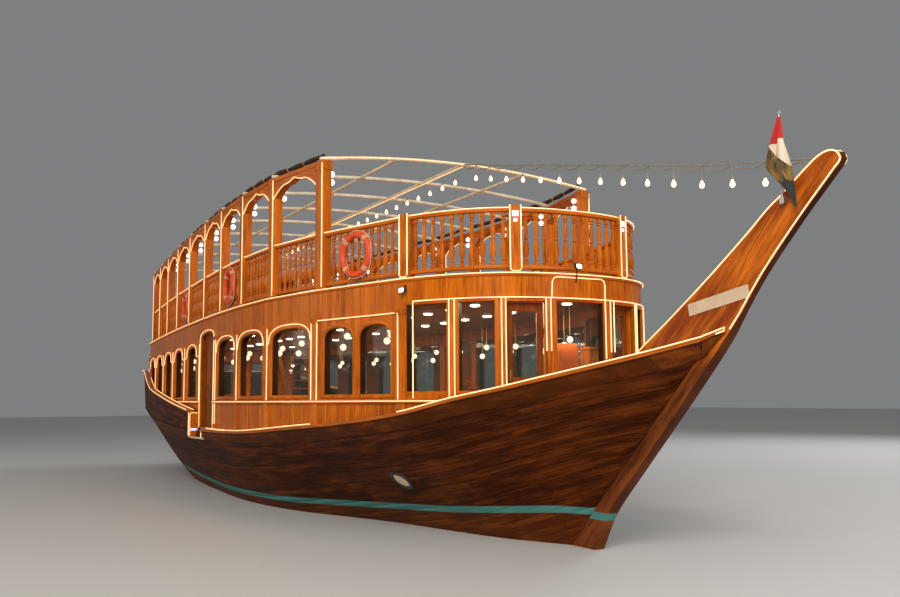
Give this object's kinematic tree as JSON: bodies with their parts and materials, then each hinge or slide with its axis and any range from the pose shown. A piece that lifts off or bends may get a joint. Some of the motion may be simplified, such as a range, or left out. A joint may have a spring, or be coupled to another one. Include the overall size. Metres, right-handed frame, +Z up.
{
  "type": "wooden two-deck passenger dhow",
  "caption": "Wooden motor dhow for dinner cruises: raked stem with a tall prow, glazed saloon with arched windows, and an open upper deck of ogee arches under a bare roof frame.",
  "frame": {"origin": "on the centreline amidships, at the height of the water", "axes": "+X towards the prow, +Y to port, +Z up"},
  "size_m": [25.4454, 6.6146, 7.7004],
  "materials": {
    "hull_varnish": "dark varnish",
    "prow_varnish": "clear varnish",
    "house_varnish": "clear varnish",
    "deck_wood": "oiled planks",
    "board_cream": "matt",
    "frame_paint": "satin",
    "bronze": "cast",
    "engine_paint": "painted",
    "saloon_glass": "clear",
    "seat_paint": "matt",
    "steel": "galvanised",
    "buoy_orange": "matt",
    "flag_cloth": "woven"
  },
  "bodies": {
    "boat": {"hull": "hull_varnish", "topsides": "hull_varnish", "keel": "hull_varnish", "bulwark_stern": "hull_varnish", "stem_post": "prow_varnish", "prow_fin": "prow_varnish", "name_board_starboard": "board_cream", "name_board_port": "board_cream", "roof_frame": "frame_paint", "engine_block": "engine_paint", "cap_rail_stern": "house_varnish", "cap_rail_starboard": "house_varnish", "cap_rail_port": "house_varnish", "house_wall_starboard": "house_varnish", "house_wall_port": "house_varnish", "house_wall_front": "house_varnish", "house_wall_aft": "house_varnish", "arcade_starboard": "house_varnish", "arcade_port": "house_varnish", "balustrade_front": "house_varnish", "balustrade_aft": "house_varnish", "stair_guard": "house_varnish", "helm_console": "house_varnish", "bow_bitts": "house_varnish", "stern_bitts": "house_varnish", "side_glass_starboard_fore": "saloon_glass", "side_glass_port_fore": "saloon_glass", "side_glass_starboard_aft": "saloon_glass", "side_glass_port_aft": "saloon_glass", "front_glass_starboard": "saloon_glass", "front_glass_port": "saloon_glass", "front_glass_centre": "saloon_glass", "aft_glass_starboard": "saloon_glass", "aft_glass_port": "saloon_glass", "saloon_floor": "deck_wood", "saloon_tables_starboard": "deck_wood", "saloon_tables_port": "deck_wood", "stair": "deck_wood", "upper_deck": "deck_wood", "deck_bench_starboard": "seat_paint", "deck_bench_port": "seat_paint", "festoon_wire": "steel", "flag_staff": "steel", "lifebuoy_starboard_1": "buoy_orange", "lifebuoy_starboard_2": "buoy_orange", "lifebuoy_starboard_3": "buoy_orange", "lifebuoy_port_1": "buoy_orange", "lifebuoy_port_2": "buoy_orange", "lifebuoy_port_3": "buoy_orange", "flag": "flag_cloth"},
    "propeller": {"propeller": "bronze"},
    "rudder": {"rudder": "hull_varnish"},
    "saloon_door_starboard": {"saloon_door_starboard": "house_varnish"},
    "saloon_door_port": {"saloon_door_port": "house_varnish"},
    "front_door_starboard": {"front_door_starboard": "house_varnish"},
    "front_door_port": {"front_door_port": "house_varnish"},
    "aft_door": {"aft_door": "house_varnish"}
  },
  "joints": [
    {"name": "propeller_spin", "type": "hinge", "parent": "boat", "child": "propeller", "pos_m": [-10.47, 0, -0.86], "axis": [1, 0, 0], "continuous": true},
    {"name": "rudder_turn", "type": "hinge", "parent": "boat", "child": "rudder", "pos_m": [-11.25, 0, -0.78], "axis": [0, 0, 1], "range_deg": [-35, 35]},
    {"name": "saloon_door_starboard_swing", "type": "hinge", "parent": "boat", "child": "saloon_door_starboard", "pos_m": [-1.7909, -3.01725, 2.5], "axis": [0, 0, -1], "range_deg": [0, 90]},
    {"name": "saloon_door_port_swing", "type": "hinge", "parent": "boat", "child": "saloon_door_port", "pos_m": [-1.7909, 3.01725, 2.5], "axis": [0, 0, 1], "range_deg": [0, 90]},
    {"name": "front_door_starboard_swing", "type": "hinge", "parent": "boat", "child": "front_door_starboard", "pos_m": [7.79945, -0.54324, 2.5], "axis": [0, 0, -1], "range_deg": [0, 90]},
    {"name": "front_door_port_swing", "type": "hinge", "parent": "boat", "child": "front_door_port", "pos_m": [7.79945, 0.54324, 2.5], "axis": [0, 0, 1], "range_deg": [0, 90]},
    {"name": "aft_door_swing", "type": "hinge", "parent": "boat", "child": "aft_door", "pos_m": [-11.339, 0.427, 2.4], "axis": [0, 0, -1], "range_deg": [0, 90]}
  ]
}
